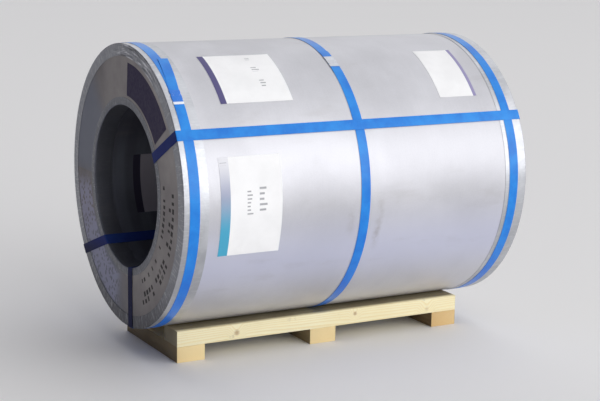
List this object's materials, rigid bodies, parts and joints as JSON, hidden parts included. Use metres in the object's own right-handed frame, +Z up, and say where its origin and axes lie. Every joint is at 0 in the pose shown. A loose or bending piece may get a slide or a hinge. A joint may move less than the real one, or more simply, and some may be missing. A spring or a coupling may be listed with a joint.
{
  "type": "steel coil",
  "caption": "Strapped coil of galvanised steel strip with edge rings, end covers and blue steel straps, lying eye to the side on a low wooden skid.",
  "frame": {"origin": "on the floor under the middle of the coil", "axes": "+X along the coil's axis and the skid's beams, +Y across the skid, +Z up"},
  "size_m": [1.2102, 0.8847, 0.9673],
  "materials": {
    "strip": "cold rolled, bare",
    "galvanised_sheet": "galvanised, fine spangle, soft sheen",
    "edge_ring": "galvanised, pleated",
    "end_cover": "printed sheet, matt",
    "blue_strap": "blue lacquered strapping",
    "seal_steel": "zinc plated, crimped",
    "label_paper": "white paper with a coloured edge stripe",
    "skid_wood": "sawn softwood"
  },
  "bodies": {
    "root": {"coil_strip": "strip", "outer_wrap": "galvanised_sheet", "bore_liner": "galvanised_sheet", "end_disc_left": "end_cover", "end_disc_right": "end_cover", "outer_ring_left": "edge_ring", "outer_ring_right": "edge_ring", "inner_ring_left": "edge_ring", "inner_ring_right": "edge_ring", "girth_strap_left": "blue_strap", "girth_strap_middle": "blue_strap", "girth_strap_right": "blue_strap", "girth_seal_left": "blue_strap", "girth_seal_middle": "seal_steel", "girth_seal_right": "seal_steel", "eye_strap_front": "blue_strap", "eye_strap_bottom": "blue_strap", "eye_strap_back": "blue_strap", "eye_seal_front": "seal_steel", "eye_seal_bottom": "seal_steel", "eye_seal_back": "seal_steel", "label_front": "label_paper", "label_upper_left": "label_paper", "label_upper_right": "label_paper", "label_bore": "label_paper", "beam_front": "skid_wood", "beam_back": "skid_wood", "bearer_left": "skid_wood", "bearer_middle": "skid_wood", "bearer_right": "skid_wood"}
  },
  "joints": []
}
